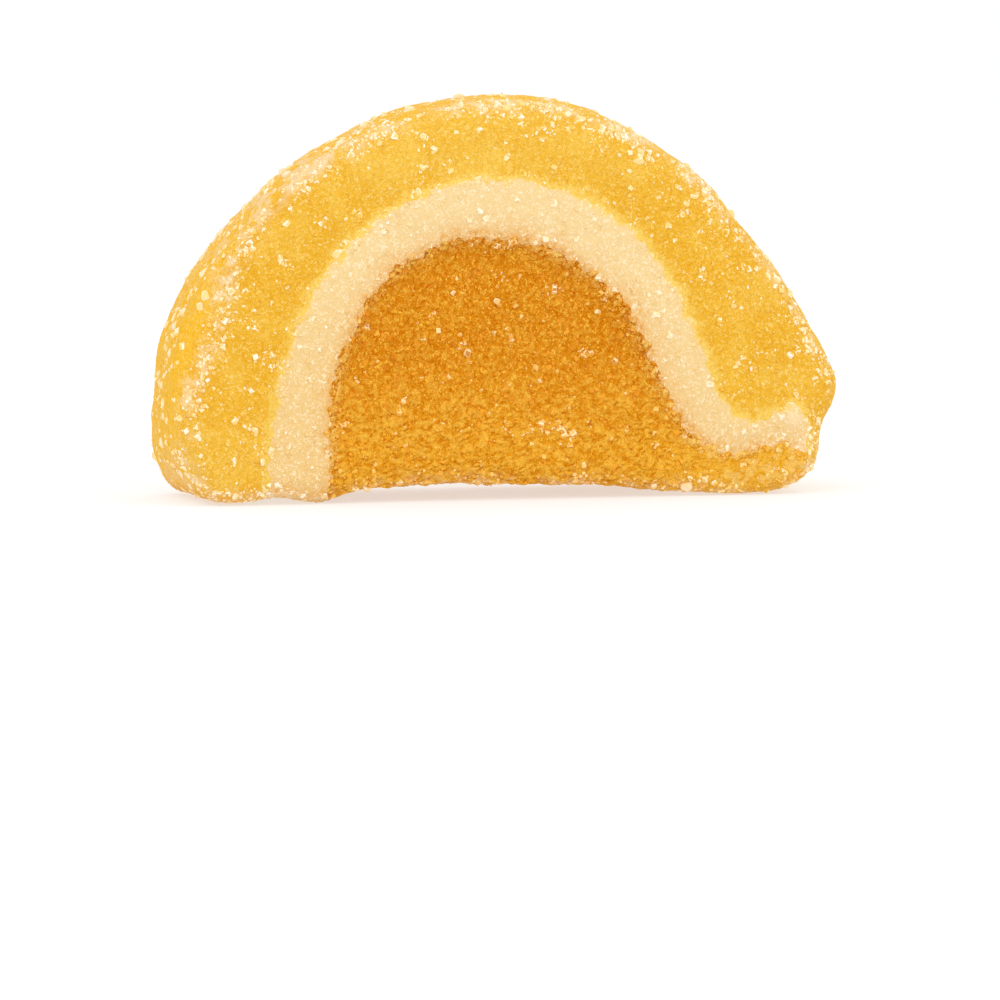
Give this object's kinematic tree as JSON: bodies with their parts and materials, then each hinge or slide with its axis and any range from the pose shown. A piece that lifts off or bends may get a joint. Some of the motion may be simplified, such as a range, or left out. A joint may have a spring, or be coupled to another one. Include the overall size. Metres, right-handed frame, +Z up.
{
  "type": "jelly orange slice",
  "caption": "Sugared fruit jelly slice shaped like half an orange round, with yellow peel, cream pith and amber flesh.",
  "frame": {"origin": "centre of the footprint, on the surface the slice stands on", "axes": "+X along the cut base, +Y through the thickness from the cut face in front to the back, +Z up to the crown of the arc"},
  "size_m": [0.0404, 0.0124, 0.0238],
  "materials": {
    "peel": "firm yellow orange fruit jelly, rolled in sugar",
    "pith": "cream coloured whipped jelly, rolled in sugar",
    "flesh": "clear amber fruit jelly, rolled in sugar"
  },
  "bodies": {
    "root": {"peel": "peel", "pith": "pith", "flesh": "flesh"}
  },
  "joints": []
}
